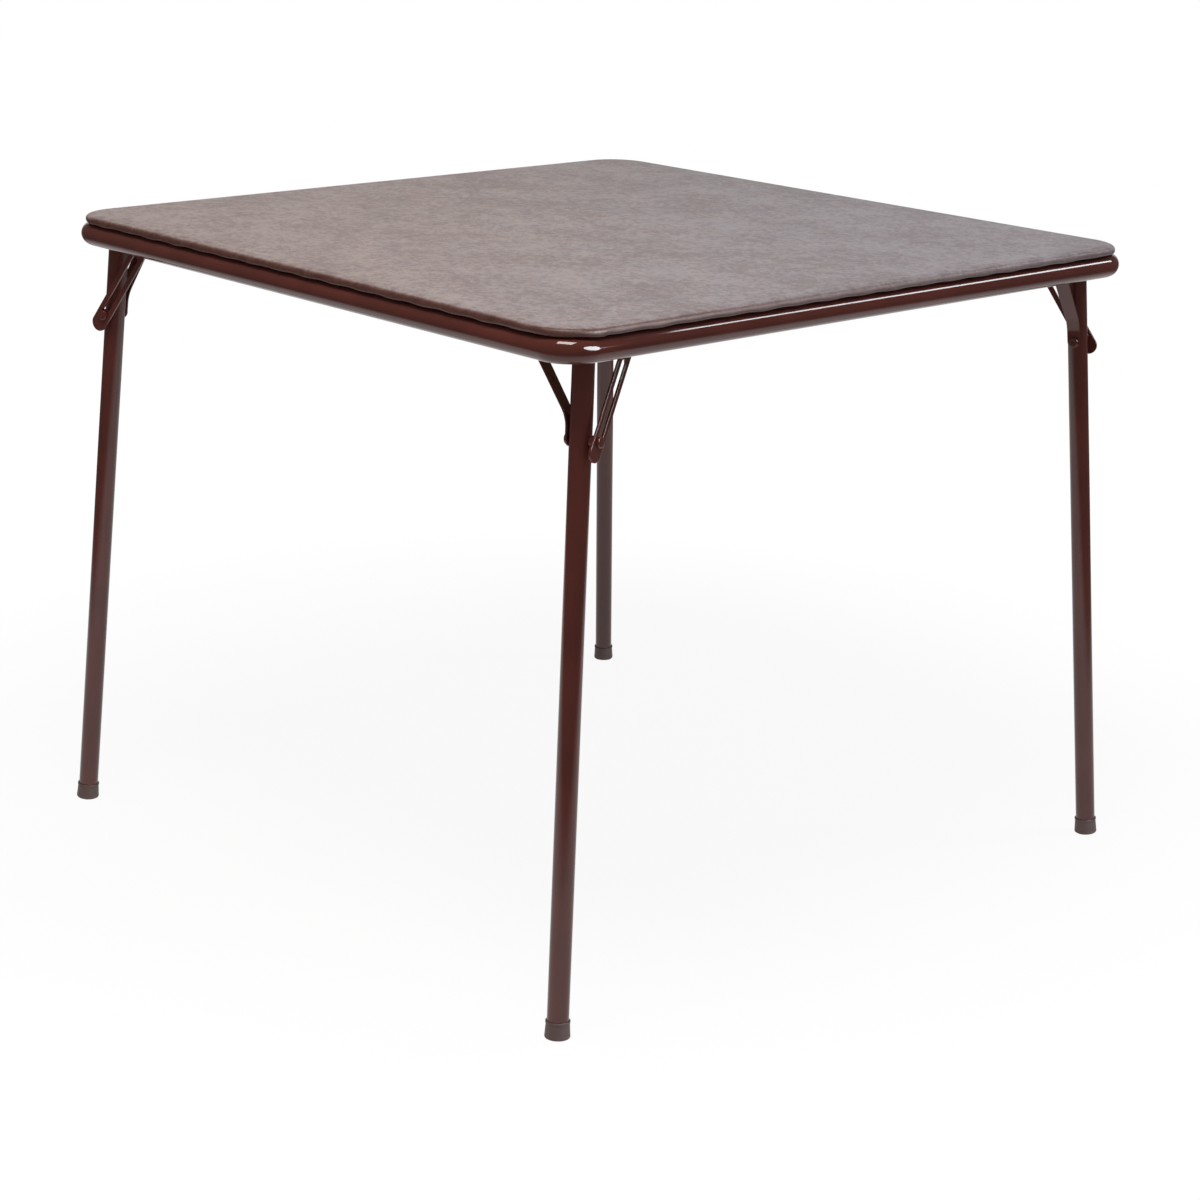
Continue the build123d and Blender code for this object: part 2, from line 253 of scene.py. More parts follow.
class Shader(Graph):
    """A material's tree, with the nodes that the finishes share."""

    def __init__(self, name: str) -> None:
        """Starts a material.

        Args:
            name: The material's name.
        """
        self.material = bpy.data.materials.new(name)
        self.material.use_nodes = True
        super().__init__(self.material.node_tree)
        self.place = self.add("ShaderNodeTexCoord", output="Object")

    def stretched(self, x: float, y: float, z: float) -> Wire:
        """The place with each axis multiplied, for grain that runs one way."""
        return self.add("ShaderNodeMapping", {}, {"Vector": self.place, "Scale": (x, y, z)})

    def axis(self, letter: str) -> Wire:
        """One coordinate of the place."""
        return self.add("ShaderNodeSeparateXYZ", {}, {0: self.place}, letter)

    def noise(
        self, size: float, detail: float = 2.0, rough: float = 0.5, vector: Optional[Wire] = None
    ) -> Wire:
        """Soft noise about 0.5.

        Args:
            size: The size of its largest spots, in metres.
            detail: How many finer layers it has.
            rough: How strong they are.
            vector: The place that it reads, if not the object's own.

        Returns:
            The noise's value.
        """
        sockets = {"Vector": vector or self.place, "Scale": 1 / size, "Detail": detail, "Roughness": rough}
        return self.add("ShaderNodeTexNoise", {}, sockets)

    def cells(self, size: float, vector: Optional[Wire] = None) -> Wire:
        """Rounded cells: 0 at each cell's middle.

        Args:
            size: The size of a cell, in metres.
            vector: The place that it reads, if not the object's own.

        Returns:
            The distance to the nearest middle, in cells.
        """
        settings = {"feature": "SMOOTH_F1"}
        sockets = {"Vector": vector or self.place, "Scale": 1 / size, "Smoothness": 0.6}
        return self.add("ShaderNodeTexVoronoi", settings, sockets)

    def blend(self, share: Value, first: Value, second: Value) -> Wire:
        """Mixes two colours.

        Args:
            share: How much of the second there is.
            first: The first colour.
            second: The second colour.

        Returns:
            The mixed colour.
        """
        return self.add("ShaderNodeMix", {"data_type": "RGBA"}, {0: share, 6: first, 7: second}, 2)

    def bump(
        self, height: Wire, depth: float, strength: float = 1.0, normal: Optional[Wire] = None
    ) -> Wire:
        """Turns a height into a normal.

        Args:
            height: The height, from 0 to 1.
            depth: What a height of 1 stands for, in metres.
            strength: How much of it shows.
            normal: A normal that it is laid on.

        Returns:
            The bumped normal.
        """
        sockets = {"Height": height, "Distance": depth, "Strength": strength}
        if normal is not None:
            sockets["Normal"] = normal
        return self.add("ShaderNodeBump", {}, sockets)

    def finish(self, **sockets: Any) -> bpy.types.Material:
        """Ends the tree in a Principled shader.

        Args:
            sockets: The shader's sockets, with underscores for spaces.

        Returns:
            The material.
        """
        named = {key.replace("_", " "): value for key, value in sockets.items()}
        self.end("ShaderNodeOutputMaterial", self.add("ShaderNodeBsdfPrincipled", {}, named))
        return self.material


@dataclass(frozen=True)
class Vinyl:
    """Soft vinyl with a leathery grain, a cloudy two-tone print, and a painted grey sheen where it is seen at
    a slant, which stands in for the reflection of the lamps and the backdrop: warmer towards -X and -Y,
    cooler and stronger towards +X and +Y.
    """

    dark: Colour = srgb(79, 43, 36)
    light: Colour = srgb(107, 67, 58)
    cloud: float = 0.09
    cloud_weight: float = 2.0
    blotch: float = 0.022
    blotch_weight: float = 2.3
    fleck: float = 0.0065
    fleck_weight: float = 2.7
    speck: float = 0.0026
    speck_weight: float = 1.9
    side_contrast: float = 0.4
    # Painted sheen: its warm and cool colours, how strongly it is painted, and how it spreads towards +X and
    # +Y, in place of a reflection of the lamps and backdrop.
    warm_painted_sheen: Colour = srgb(164, 149, 145)
    cool_painted_sheen: Colour = srgb(149, 146, 153)
    painted_sheen_weight: float = 0.86
    painted_sheen_slant: Tuple[float, float] = (0.37, 0.72)
    painted_sheen_tone: float = 0.5
    cool_sheen_spread: float = 0.424 * 1.2
    cool_sheen_lift: float = 0.14
    drift: float = 0.022 * 1.7
    drift_weight: float = 1.4
    fold_heights: Tuple[float, float] = (0.6963, 0.6985)
    edge_heights: Tuple[float, float] = (0.7, 0.7042)
    pebble: float = 0.0013
    crease: float = 0.0013 * 2.2
    grain_depth: float = 0.00016
    dent: float = 0.044
    dent_depth: float = 0.0005
    roughness: float = 0.46

    def material(self) -> bpy.types.Material:
        """Builds the material.

        Returns:
            The material.
        """
        shader = Shader("vinyl_print")
        cloud = shader.noise(self.cloud, 3.0, 0.6)
        blotch = shader.noise(self.blotch, 4.0, 0.65)
        fleck = shader.noise(self.fleck, 2.0, 0.6)
        speck = shader.noise(self.speck, 2.0, 0.6)
        height = shader.axis("Z")
        flat = height.rise(*self.edge_heights)
        large = cloud.swing(self.cloud_weight) + blotch.swing(self.blotch_weight)
        tone = large + fleck.swing(self.fleck_weight) + speck.swing(self.speck_weight)
        tone = (0.5 + tone * (self.side_contrast + flat * (1 - self.side_contrast))).clamp()
        print_colour = shader.blend(tone, self.dark, self.light)
        # Painted light: towards +X and +Y the painted sheen is cooler, stronger, and reaches down the side,
        # where the cool lamps' reflection is painted.
        cool_sheen_side = (shader.axis("X") + shader.axis("Y")).rise(-self.cool_sheen_spread, self.cool_sheen_spread)
        drift = shader.noise(self.drift, 3.0, 0.6).swing(self.drift_weight)
        painted_sheen_colour = shader.blend((cool_sheen_side + drift).clamp(), self.warm_painted_sheen, self.cool_painted_sheen)
        # Painted sheen: grey mixed over the print where the surface is slanted to the view, in place of a
        # reflection.
        slant = shader.add("ShaderNodeLayerWeight", {}, {"Blend": 0.5}, "Facing")
        # Where the painted sheen reaches: the top, and the side as well towards +X and +Y.
        reach = (flat + cool_sheen_side * height.rise(*self.fold_heights)).clamp()
        painted_sheen = (slant + cool_sheen_side * self.cool_sheen_lift).rise(*self.painted_sheen_slant)
        painted_sheen = painted_sheen * (1 - self.painted_sheen_tone + tone * self.painted_sheen_tone) * reach * self.painted_sheen_weight
        colour = shader.blend(painted_sheen, print_colour, painted_sheen_colour)
        crease = shader.noise(self.crease, 3.0, 0.65)
        grain = shader.cells(self.pebble) * 0.6 + crease * 0.5
        dents = shader.bump(shader.noise(self.dent, 1.0), self.dent_depth, 0.35)
        normal = shader.bump(grain, self.grain_depth, 0.7, dents)
        roughness = self.roughness + blotch.swing(0.16) + crease.swing(0.14)
        return shader.finish(Base_Color=colour, Roughness=roughness, Normal=normal)


@dataclass(frozen=True)
class Enamel:
    """Glossy dark brown enamel, a little uneven where it ran."""

    colour: Colour = srgb(100, 50, 43)
    deep: Colour = srgb(84, 42, 36)
    pool: float = 0.06
    pool_share: float = 0.55
    speck: float = 0.0022 * 0.6
    speck_share: float = 0.2
    smudge: float = 0.03
    peel: float = 0.0022
    peel_depth: float = 0.00001
    wave: float = 0.018
    wave_depth: float = 0.0001
    roughness: float = 0.05

    def material(self) -> bpy.types.Material:
        """Builds the material.

        Returns:
            The material.
        """
        shader = Shader("brown_gloss")
        pool = shader.noise(self.pool, 2.0).rise(0.3, 0.7)
        speck = shader.noise(self.speck, 1.0)
        depth = pool * self.pool_share + speck * self.speck_share
        colour = shader.blend(depth, self.colour, self.deep)
        smudges = shader.noise(self.smudge, 4.0, 0.7).rise(0.5, 0.75)
        roughness = self.roughness + smudges * 0.06 + speck.swing(0.03)
        waves = shader.bump(shader.noise(self.wave, 1.0), self.wave_depth, 0.15)
        normal = shader.bump(shader.noise(self.peel, 1.0), self.peel_depth, 0.5, waves)
        return shader.finish(Base_Color=colour, Roughness=roughness, Normal=normal)


@dataclass(frozen=True)
class CapPlastic:
    """Moulded brown plastic, matt, and dusty where it meets the floor."""

    colour: Colour = srgb(96, 74, 70)
    dusty: Colour = srgb(122, 104, 98)
    dust_heights: Tuple[float, float] = (0.001, 0.006)
    dust_share: float = 0.6
    mottle: float = 0.006
    mottle_share: float = 0.25
    spark: float = 0.0006
    spark_depth: float = 0.00006
    roughness: float = 0.52

    def material(self) -> bpy.types.Material:
        """Builds the material.

        Returns:
            The material.
        """
        shader = Shader("cap_plastic")
        mottle = shader.noise(self.mottle, 3.0, 0.6)
        low = 1.0 - shader.axis("Z").rise(*self.dust_heights)
        share = low * mottle.rise(0.35, 0.65) * self.dust_share + mottle.swing(self.mottle_share)
        colour = shader.blend(share.clamp(), self.colour, self.dusty)
        roughness = self.roughness + low * 0.15 + mottle.swing(0.15)
        normal = shader.bump(shader.noise(self.spark, 2.0), self.spark_depth, 0.5)
        return shader.finish(Base_Color=colour, Roughness=roughness, Normal=normal)


@dataclass(frozen=True)
class Hardboard:
    """Pressed wood fibre, with flecks and a faint screen pattern."""

    colour: Colour = srgb(126, 92, 62)
    dark: Colour = srgb(92, 64, 42)
    fleck: float = 0.004
    fleck_weight: float = 1.6
    cross_fleck: float = 0.006
    cross_weight: float = 1.4
    stain: float = 0.16
    stain_share: float = 0.5
    screen_squares: float = 420.0
    depth: float = 0.0004
    roughness: float = 0.7

    def material(self) -> bpy.types.Material:
        """Builds the material.

        Returns:
            The material.
        """
        shader = Shader("pressed_fibre")
        flecks = shader.noise(self.fleck, 4.0, 0.7, shader.stretched(1.0, 0.35, 1.0))
        cross = shader.noise(self.cross_fleck, 4.0, 0.7, shader.stretched(0.3, 1.0, 1.0))
        stain = shader.noise(self.stain, 3.0).rise(0.3, 0.8) * self.stain_share
        share = flecks.swing(self.fleck_weight) + cross.swing(self.cross_weight) + stain
        colour = shader.blend((share + 0.3).clamp(), self.colour, self.dark)
        squares = {"Vector": shader.place, "Scale": self.screen_squares}
        screen = shader.add("ShaderNodeTexChecker", {}, squares, "Fac")
        normal = shader.bump(flecks * 0.7 + screen * 0.12, self.depth, 0.5)
        roughness = self.roughness + flecks * 0.15
        return shader.finish(Base_Color=colour, Roughness=roughness, Normal=normal)


@dataclass(frozen=True)
class Foam:
    """Open-celled upholstery foam."""

    colour: Colour = srgb(222, 208, 160)
    pore: Colour = srgb(176, 158, 112)
    cell: float = 0.0011
    depth: float = 0.0006
    roughness: float = 0.9

    def material(self) -> bpy.types.Material:
        """Builds the material.

        Returns:
            The material.
        """
        shader = Shader("open_foam")
        pores = shader.cells(self.cell)
        colour = shader.blend(pores.rise(0.3, 0.8), self.colour, self.pore)
        roughness = self.roughness - pores * 0.05
        normal = shader.bump(pores, self.depth, 0.8)
        return shader.finish(Base_Color=colour, Roughness=roughness, Normal=normal)


@dataclass(frozen=True)
class BareSteel:
    """Bare or plated steel with fine drawing lines and a few dull patches."""

    name: str
    colour: Colour
    dull: Colour
    roughness: float
    line: float = 0.0012
    line_depth: float = 0.00003
    patch: float = 0.005
    patch_share: float = 0.7

    def material(self) -> bpy.types.Material:
        """Builds the material.

        Returns:
            The material.
        """
        shader = Shader(self.name)
        lines = shader.noise(self.line, 3.0, 0.6, shader.stretched(0.12, 1.0, 1.0))
        patch = shader.noise(self.patch, 3.0, 0.6).rise(0.45, 0.7)
        colour = shader.blend(patch * self.patch_share, self.colour, self.dull)
        roughness = self.roughness + patch * 0.18 + lines.swing(0.2)
        normal = shader.bump(lines, self.line_depth, 0.5)
        return shader.finish(Base_Color=colour, Metallic=1.0, Roughness=roughness, Normal=normal)


class Finishes:
    """The material of each slot."""

    def __init__(self) -> None:
        """Builds them all."""
        self.by_slot: Dict[Slot, bpy.types.Material] = {
            Slot.VINYL: Vinyl().material(),
            Slot.FOAM: Foam().material(),
            Slot.BOARD: Hardboard().material(),
            Slot.WIRE: BareSteel("staple_wire", srgb(176, 176, 172), srgb(128, 124, 116), 0.34).material(),
            Slot.FOOT_CAP: CapPlastic().material(),
            Slot.PLATED: BareSteel("zinc_plate", srgb(186, 184, 174), srgb(150, 146, 126), 0.3).material(),
            Slot.ENAMEL: Enamel().material(),
        }

    def __getitem__(self, slot: Slot) -> bpy.types.Material:
        """The material of a slot."""
        return self.by_slot[slot]


FINISHES = Finishes()


def new_piece(name: str, mesh: bpy.types.Mesh) -> bpy.types.Object:
    """Puts a mesh into the scene as an object at the origin.

    Args:
        name: The object's name.
        mesh: Its mesh.

    Returns:
        The object.
    """
    piece = bpy.data.objects.new(name, mesh)
    bpy.context.scene.collection.objects.link(piece)
    return piece


def settle(piece: bpy.types.Object) -> None:
    """Turns a piece's evaluated form into its plain mesh and removes its modifiers.

    Args:
        piece: The piece.
    """
    graph = bpy.context.evaluated_depsgraph_get()
    mesh = bpy.data.meshes.new_from_object(piece.evaluated_get(graph))
    piece.modifiers.clear()
    piece.data = mesh


def thicken(piece: bpy.types.Object, wall: float) -> None:
    """Gives a skin a wall on its inner side.

    Args:
        piece: The skin.
        wall: The wall's thickness.
    """
    modifier = piece.modifiers.new("wall", "SOLIDIFY")
    modifier.thickness = wall
    modifier.offset = -1.0
    settle(piece)


@contextmanager
def edited(mesh: bpy.types.Mesh) -> Iterator[bmesh.types.BMesh]:
    """Opens a mesh for changes and writes them back.

    Args:
        mesh: The mesh.

    Yields:
        Its form, which is freed at the end.
    """
    form = bmesh.new()
    form.from_mesh(mesh)
    yield form
    form.to_mesh(mesh)
    form.free()


def dress(
    piece: bpy.types.Object,
    slot: Slot,
    body: str,
    *nodes: str,
    crease_deg: float = 38.0,
    hard: bool = True,
) -> None:
    """Gives a piece its finish and its smooth shading, its body, and the nodes that it stands for.

    Args:
        piece: The piece.
        slot: The material slot that it is finished from.
        body: The body that it rides on.
        nodes: The nodes that it replaces.
        crease_deg: Edges sharper than this stay sharp.
        hard: Whether its long faces keep their own shading up to their rounded edges.
    """
    piece.data.materials.clear()
    piece.data.materials.append(FINISHES[slot])
    piece.data.shade_smooth()
    piece.data.set_sharp_from_angle(angle=math.radians(crease_deg))
    if hard:
        piece.modifiers.new("shading", "WEIGHTED_NORMAL").keep_sharp = True
        settle(piece)
    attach(piece, body)
    if nodes:
        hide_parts(*nodes)
    log.info("%s: %d faces, on %s", piece.name, len(piece.data.polygons), body)


class GrowTree(Graph):
    """A Geometry Nodes tree with named inputs."""

    def __init__(self, name: str, inputs: Dict[str, str]) -> None:
        """Starts the tree.

        Args:
            name: The tree's name.
            inputs: The type of each input after the geometry, by name.
        """
        tree = bpy.data.node_groups.new(name, "GeometryNodeTree")
        super().__init__(tree)
        tree.interface.new_socket(name="Geometry", in_out="INPUT", socket_type="NodeSocketGeometry")
        tree.interface.new_socket(name="Geometry", in_out="OUTPUT", socket_type="NodeSocketGeometry")
        self.ids: Dict[str, str] = {}
        for label, kind in inputs.items():
            item = tree.interface.new_socket(name=label, in_out="INPUT", socket_type=kind)
            self.ids[label] = item.identifier
        self.source = tree.nodes.new("NodeGroupInput")

    def take(self, label: str) -> Wire:
        """The wire of a named input."""
        return Wire(self, self.source.outputs[label])

    def dice(self, seed: int) -> Wire:
        """A random number from -1 to 1 for each point."""
        ends = {2: -1.0, 3: 1.0, "Seed": seed}
        return self.add("FunctionNodeRandomValue", {"data_type": "FLOAT"}, ends, 1)

    def plant(self, copy: Wire, rotation: Wire) -> None:
        """Sets a copy on each point of the input, and ends the tree.

        Args:
            copy: What is set.
            rotation: How each copy is turned.
        """
        rows = {"Points": self.take("Geometry"), "Instance": copy, "Rotation": rotation}
        self.close(self.add("GeometryNodeInstanceOnPoints", {}, rows))

    def close(self, geometry: Wire) -> None:
        """Ends the tree: instances made real, then the finish.

        Args:
            geometry: What the tree has made.
        """
        real = self.add("GeometryNodeRealizeInstances", {}, {0: geometry})
        done = self.add("GeometryNodeSetMaterial", {}, {"Geometry": real, "Material": self.take("Finish")})
        self.end("NodeGroupOutput", done)

    def grow(self, name: str, seed: bpy.types.Mesh, values: Dict[str, Any]) -> bpy.types.Object:
        """Runs the tree on a mesh.

        Args:
            name: The new piece's name.
            seed: The mesh that the tree starts from.
            values: The value of each input, by name.

        Returns:
            The piece, as a plain mesh.
        """
        piece = new_piece(name, seed)
        modifier = piece.modifiers.new("grow", "NODES")
        modifier.node_group = self.tree
        for label, value in values.items():
            modifier[self.ids[label]] = value
        settle(piece)
        return piece


def circle(steps: int) -> np.ndarray:
    """Places round a circle of radius 1."""
    turn = np.linspace(0, 2 * math.pi, steps, endpoint=False)
    return np.stack([np.cos(turn), np.sin(turn)], 1)


def lifted(flat: np.ndarray, height: Union[float, np.ndarray]) -> np.ndarray:
    """Flat places with their height."""
    return np.column_stack([flat, np.broadcast_to(height, len(flat))])


def ring_mesh(
    name: str,
    rings: Sequence[np.ndarray],
    first_pole: Optional[Vector] = None,
    last_pole: Optional[Vector] = None,
) -> bpy.types.Mesh:
    """Joins closed rings of points into one skin.

    Args:
        name: The mesh's name.
        rings: The rings, each with the same number of points, anticlockwise from above.
        first_pole: A point that closes the first ring.
        last_pole: A point that closes the last ring.

    Returns:
        The mesh, facing outwards when the rings run up the outside.
    """
    count = len(rings[0])
    points = [tuple(point) for ring in rings for point in ring]
    faces: List[Tuple[int, ...]] = []
    for row in range(len(rings) - 1):
        low, high = row * count, (row + 1) * count
        faces += [(low + i, low + (i + 1) % count, high + (i + 1) % count, high + i) for i in range(count)]
    for pole, start, order in ((first_pole, 0, -1), (last_pole, (len(rings) - 1) * count, 1)):
        if pole is not None:
            tip = len(points)
            points.append(tuple(pole))
            faces += [(start + i, start + (i + 1) % count, tip)[::order] for i in range(count)]
    mesh = bpy.data.meshes.new(name)
    mesh.from_pydata(points, [], faces)
    mesh.validate()
    return mesh


@dataclass
class SquareLine:
    """A square with round corners, walked anticlockwise from the left end of the -Y side."""

    straight_steps: int = 156
    corner_steps: int = 20

    def walk(self, half: float, corner: float) -> np.ndarray:
        """Places along the line.

        Args:
            half: Half the square's side.
            corner: The radius of its corners.

        Returns:
            An array of X and Y.
        """
        run = half - corner
        side = np.linspace(-run, run, self.straight_steps, endpoint=False)
        straight = np.stack([side, np.full_like(side, -half)], 1)
        turn = np.linspace(0, QUARTER, self.corner_steps, endpoint=False)
        arc = np.stack([run + corner * np.sin(turn), -run - corner * np.cos(turn)], 1)
        quarter = np.concatenate([straight, arc])
        turns = [quarter]
        for _ in range(3):
            last = turns[-1]
            turns.append(np.stack([-last[:, 1], last[:, 0]], 1))
        return np.concatenate(turns)

    def outward(self) -> np.ndarray:
        """The outward direction at each place, from a square that is nearly all corner."""
        return self.walk(1.0, 1.0 - 1e-9)

    def along(self, half: float, corner: float) -> Tuple[np.ndarray, np.ndarray]:
        """How far each place is from the middle of its side, and how far round a corner it is.

        Args:
            half: Half the square's side.
            corner: The radius of its corners.

        Returns:
            The signed distance along the line, and the share of the corner's turn, 0 on the sides.
        """
        run = half - corner
        straight = np.linspace(-run, run, self.straight_steps, endpoint=False)
        share = np.linspace(0, 1, self.corner_steps, endpoint=False)
        distance = np.concatenate([straight, run + share * corner * QUARTER])
        round_share = np.concatenate([np.zeros_like(straight), share])
        return np.tile(distance, 4), np.tile(round_share, 4)


@dataclass
class PaddedTop:
    """Board, foam and vinyl cover, with the cover wrapped under the edge and stapled."""

    half: float = 0.424
    corner: float = 0.0515
    bottom: float = 0.6961
    top: float = 0.7058
    top_edge: float = 0.006
    shoulder: float = 0.0018
    shoulder_width: float = 0.024
    shoulder_power: float = 1.7
    bottom_edge: float = 0.0026
    skin: float = 0.0008
    opening_half: float = 0.392
    opening_corner: float = 0.034
    staple_pitch: float = 0.047
    staples_per_side: int = 13
    staple_line: float = 0.397
    staple_sink: float = 0.0003
    scallop: float = 0.0012
    least_scallop: float = 0.45
    scallop_push: float = 0.35
    bays: int = 32
    middle_bay: int = 12
    pleat: float = 0.0008
    pleats: int = 7
    pleat_reach: float = 0.5
    hang_start: float = 0.75
    puff_cap: float = 0.0009
    free_inset: float = 0.012
    foam_low: float = 0.70195
    foam_gap: float = 0.001
    foam_corner: float = 0.01
    wrap_shares: Tuple[float, ...] = (0.0, 0.1, 0.2, 0.31, 0.42, 0.53, 0.64, 0.75, 0.88)
    lower_arc_deg: Tuple[float, ...] = (0, 22.5, 45, 67.5, 90)
    upper_arc_deg: Tuple[float, ...] = (0, 15, 30, 45, 60, 75, 90)
    shoulder_insets: Tuple[float, ...] = (
        0.0075, 0.0095, 0.012, 0.015, 0.0185, 0.0225, 0.027, 0.033, 0.041, 0.05
    )
    middle_scales: Tuple[float, ...] = (0.94, 0.84, 0.68, 0.46, 0.22)
    foam_arc_deg: Tuple[float, ...] = (42, 55, 70, 90)
    foam_insets: Tuple[float, ...] = (0.0085, 0.012, 0.016, 0.024, 0.1, 0.25)

    def build(self) -> None:
        """Makes the cover, the foam and the staples, and dresses the board."""
        self.cover()
        self.foam()
        self.staples()
        dress_node("top_board", Slot.BOARD)

    def drop(self, inset: float) -> float:
        """How far the top has sunk towards its edge.

        Args:
            inset: The distance in from the edge.

        Returns:
            The drop below the middle of the top.
        """
        share = (self.shoulder_width - inset) / (self.shoulder_width - self.top_edge)
        return self.shoulder * min(1.0, max(0.0, share)) ** self.shoulder_power

    def edge_arc(self, angle: float) -> Tuple[float, float]:
        """A place on the rounded upper edge.

        Args:
            angle: 0 at the side, a right angle at the top.

        Returns:
            Its inset and its height.
        """
        inset = self.top_edge * (1 - math.cos(angle))
        sunk = (self.top_edge - self.shoulder) * (1 - math.sin(angle))
        return inset, self.top - self.drop(inset) - sunk

    def outline(self, line: SquareLine, inset: float, least_corner: float = 0.0) -> np.ndarray:
        """The top's outline, drawn in by an inset."""
        return line.walk(self.half - inset, max(self.corner - inset, least_corner))

    def hang(self, distance: np.ndarray) -> np.ndarray:
        """How far the cover hangs between its staples, by another draw in each bay.

        Args:
            distance: How far each place is from the middle of its side.

        Returns:
            The drop at each place.
        """
        dice = np.random.default_rng(7)
        side = np.repeat(np.arange(4), len(distance) // 4)
        bay = np.round(distance / self.staple_pitch + 0.5).astype(int) + self.middle_bay
        drop = self.scallop * dice.uniform(self.least_scallop, 1.0, (4, self.bays))[side, bay]
        return drop * (0.5 - 0.5 * np.cos(2 * math.pi * distance / self.staple_pitch))

    def rings(self) -> Tuple[List[np.ndarray], np.ndarray]:
        """The cover's rings, from its cut edge underneath, round the side and over the top.

        Returns:
            The rings, and how firmly the points of each are held, from 0 to 1.
        """
        line = SquareLine()
        opening = line.walk(self.opening_half, self.opening_corner)
        margin = self.outline(line, self.bottom_edge) - opening
        distance, round_share = line.along(self.half, self.corner)
        outward = line.outward()
        sag = self.hang(distance)
        rings: List[np.ndarray] = []
        hold: List[float] = []

        def add(flat: np.ndarray, height: float, sag_share: float, firmness: float) -> None:
            """Adds one ring.

            Args:
                flat: Its X and Y.
                height: Its height.
                sag_share: How much it hangs between the staples.
                firmness: How firmly it is held.
            """
            push = sag * sag_share * self.scallop_push
            rings.append(lifted(flat + outward * push[:, None], height - sag * sag_share))
            hold.append(firmness)

        fold = np.abs(((round_share * self.pleats) % 1.0) - 0.5) * 2
        crumple = self.pleat * (1 - fold**0.6) * (round_share > 0)
        for share in self.wrap_shares:
            add(opening + margin * share, self.bottom, max(0.0, share - self.hang_start) * 3, 1.0)
            rings[-1][:, 2] -= crumple * max(0.0, 1 - share / self.pleat_reach)
        for angle in np.radians(self.lower_arc_deg):
            inset = self.bottom_edge * (1 - math.sin(angle))
            height = self.bottom + self.bottom_edge * (1 - math.cos(angle))
            add(self.outline(line, inset), height, 1.0 - angle * 0.25, 0.0)
        for angle in np.radians(self.upper_arc_deg):
            inset, height = self.edge_arc(angle)
            add(self.outline(line, inset), height, max(0.0, 0.15 - angle * 0.6), 0.0)
        for inset in self.shoulder_insets:
            firmness = float(np.clip((inset - self.free_inset) / self.free_inset, 0, 1))
            add(self.outline(line, inset), self.top - self.drop(inset), 0.0, firmness)
        last = rings[-1][:, :2]
        for scale in self.middle_scales:
            add(last * scale, self.top, 0.0, 1.0)
        return rings, np.repeat(hold, len(distance))

    def cover(self) -> None:
        """The vinyl cover: swollen a little by the foam, then given its thickness."""
        rings, hold = self.rings()
        mesh = ring_mesh("vinyl_cover", rings, last_pole=Vector((0, 0, self.top)))
        piece = new_piece("vinyl_cover", mesh)
        swell(piece, np.append(hold, 1.0), self.puff_cap)
        thicken(piece, self.skin)
        dress(piece, Slot.VINYL, "table", "top_cover", crease_deg=60, hard=False)

    def foam(self) -> None:
        """The thin foam layer on the board."""
        line = SquareLine(60, 12)
        gap, high = self.foam_gap, self.top - self.foam_gap
        profile = []
        for angle in np.radians(self.foam_arc_deg):
            inset, height = self.edge_arc(angle)
            profile.append((inset + gap * math.cos(angle), height - gap * math.sin(angle)))
        base = [(inset, self.foam_low) for inset in (*self.foam_insets[:-3:-1], profile[0][0])]
        profile = base + profile + [(inset, high - self.drop(inset)) for inset in self.foam_insets]
        rings = [lifted(self.outline(line, inset, self.foam_corner), height) for inset, height in profile]
        poles = Vector((0, 0, self.foam_low)), Vector((0, 0, high))
        piece = new_piece("foam_layer", ring_mesh("foam_layer", rings, *poles))
        dress(piece, Slot.FOAM, "table", "foam_pad", hard=False)

    def staples(self) -> None:
        """The staples of the wrapped margin, set on their points by a tree."""
        sizes = {
            "Crown width": 10.0 * MM,
            "Leg length": 4.4 * MM,
            "Wire width": 1.2 * MM,
            "Wire thickness": 0.6 * MM,
            "Bend radius": 0.5 * MM,
            "Skew": math.radians(5),
        }
        kinds = {label: "NodeSocketFloat" for label in sizes} | {"Finish": "NodeSocketMaterial"}
        tree = GrowTree("staple_rows", kinds)
        corner = tree.add("GeometryNodeInputIndex") - 1.5
        across = corner.math("SIGN", corner) * (tree.take("Crown width") - tree.take("Wire thickness")) * 0.5
        up = (corner.math("ABSOLUTE", corner) > 1.0) * tree.take("Leg length")
        spot = tree.add("ShaderNodeCombineXYZ", {}, {"X": across, "Y": up})
        line = tree.add("GeometryNodeMeshLine", {}, {"Count": 4})
        line = tree.add("GeometryNodeSetPosition", {}, {"Geometry": line, "Position": spot})
        curve = tree.add("GeometryNodeMeshToCurve", {}, {"Mesh": line})
        bend = {"Curve": curve, "Count": 4, "Radius": tree.take("Bend radius"), "Limit Radius": True}
        curve = tree.add("GeometryNodeFilletCurve", {"mode": "POLY"}, bend)
        curve = tree.add("GeometryNodeSetCurveNormal", {"mode": "Z_UP"}, {"Curve": curve})
        section = {"Width": tree.take("Wire thickness"), "Height": tree.take("Wire width")}
        profile = tree.add("GeometryNodeCurvePrimitiveQuadrilateral", {"mode": "RECTANGLE"}, section)
        sweep = {"Curve": curve, "Profile Curve": profile, "Fill Caps": True}
        wire = tree.add("GeometryNodeCurveToMesh", {}, sweep)
        turn = tree.add("GeometryNodeInputNamedAttribute", {"data_type": "FLOAT"}, {"Name": "turn"})
        angle = turn + tree.dice(11) * tree.take("Skew")
        tree.plant(wire, tree.add("ShaderNodeCombineXYZ", {}, {"X": QUARTER, "Z": angle}))
        steps = np.arange(self.staples_per_side) - (self.staples_per_side - 1) / 2
        height = self.bottom - self.staple_sink
        row = [Vector((step * self.staple_pitch, -self.staple_line, height)) for step in steps]
        seed = turned_points("staple_points", row)
        piece = tree.grow("edge_staples", seed, sizes | {"Finish": FINISHES[Slot.WIRE]})
        dress(piece, Slot.WIRE, "table", "staples")


